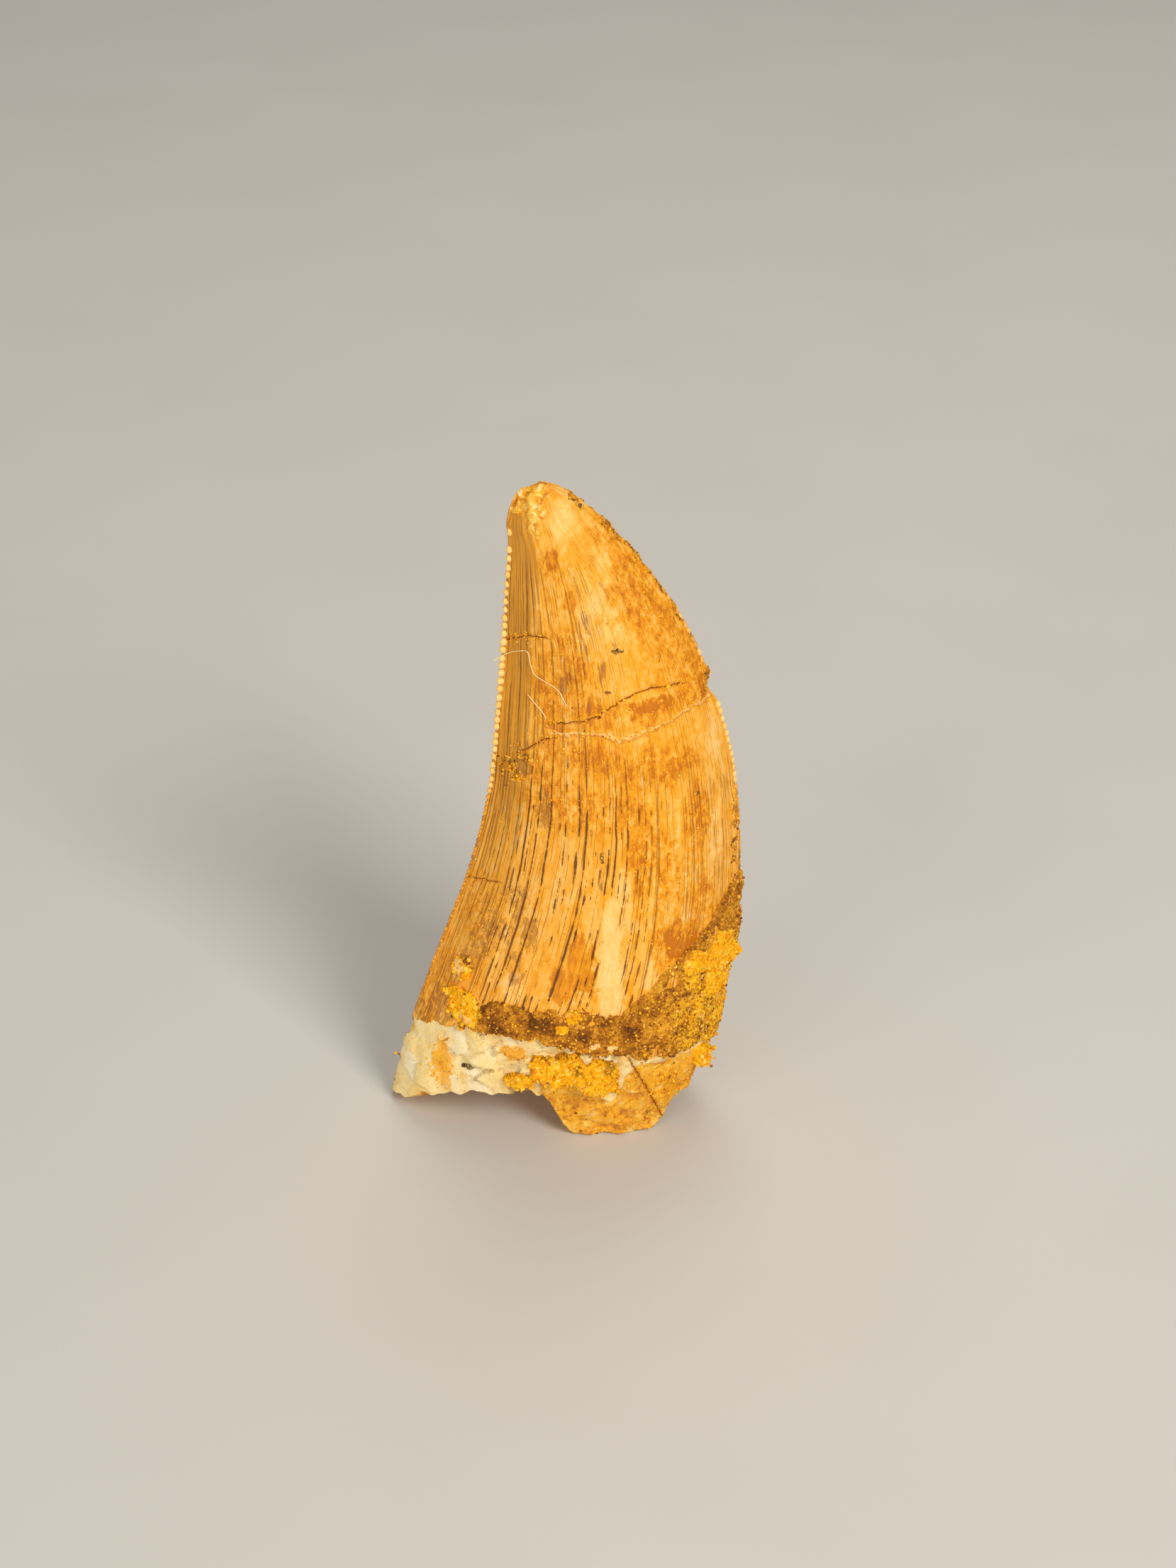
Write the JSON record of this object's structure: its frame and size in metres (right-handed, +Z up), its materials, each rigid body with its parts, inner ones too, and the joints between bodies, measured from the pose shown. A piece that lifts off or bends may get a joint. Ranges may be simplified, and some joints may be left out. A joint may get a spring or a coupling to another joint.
{
  "type": "fossil dinosaur tooth",
  "caption": "Curved blade-shaped fossil tooth of a meat-eating dinosaur, with serrated edges, cracked enamel, a chipped tip and a sandy broken root that it stands on.",
  "frame": {"origin": "on the ground, under the middle of the tooth's box", "axes": "+Z up from the broken root to the tip, +X towards the bowed mesial edge, +Y away from the side that the picture shows"},
  "size_m": [0.0252, 0.0114, 0.0496],
  "materials": {
    "fossil_enamel": "satin, cracked and stained",
    "sandstone_matrix": "rough, sandy"
  },
  "bodies": {
    "root": {"tooth": "fossil_enamel"}
  },
  "joints": []
}
